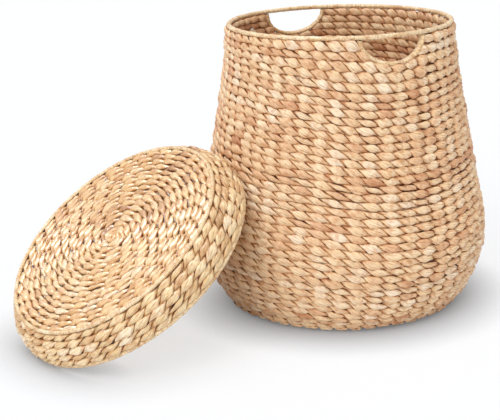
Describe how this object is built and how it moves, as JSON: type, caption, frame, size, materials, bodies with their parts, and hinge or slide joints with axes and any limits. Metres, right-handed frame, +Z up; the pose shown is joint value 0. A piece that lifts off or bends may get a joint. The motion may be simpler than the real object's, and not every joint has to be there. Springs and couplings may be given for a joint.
{
  "type": "lidded laundry basket",
  "caption": "Round-bellied laundry basket of twined water hyacinth on a wire frame, with bound handle cut-outs under the rim and a loose flat lid leaning against it.",
  "frame": {"origin": "middle of the base on the floor", "axes": "+Z up along the basket's axis, +X through the middle of the front handle; the lid leans on the -Y side"},
  "size_m": [0.4358, 0.7339, 0.427],
  "materials": {
    "weave": "matte",
    "lid_weave": "matte",
    "cord": "matte",
    "wire": "satin"
  },
  "bodies": {
    "basket": {"frame_rib_1": "wire", "frame_rib_2": "wire", "frame_rib_3": "wire", "frame_rib_4": "wire", "frame_rib_5": "wire", "frame_rib_6": "wire", "frame_rib_7": "wire", "frame_rib_8": "wire", "base_ring": "wire", "rim_ring": "wire", "front_handle_hoop": "wire", "back_handle_hoop": "wire", "base_weave": "weave", "wall_weave": "weave", "rim_binding": "cord", "front_handle_binding": "cord", "back_handle_binding": "cord"},
    "lid": {"lid_rib_1": "wire", "lid_rib_2": "wire", "lid_rib_3": "wire", "lid_rib_4": "wire", "lid_rib_5": "wire", "lid_rib_6": "wire", "lid_rim_ring": "wire", "lid_edge_ring": "wire", "lid_top_weave": "lid_weave", "lid_side_weave": "lid_weave", "lid_rim_binding": "cord", "lid_edge_binding": "cord"}
  },
  "joints": [
    {"name": "lid_lift", "type": "slide", "parent": "basket", "child": "lid", "axis": [0, 0, 1], "range_m": [0, 0.5]}
  ]
}
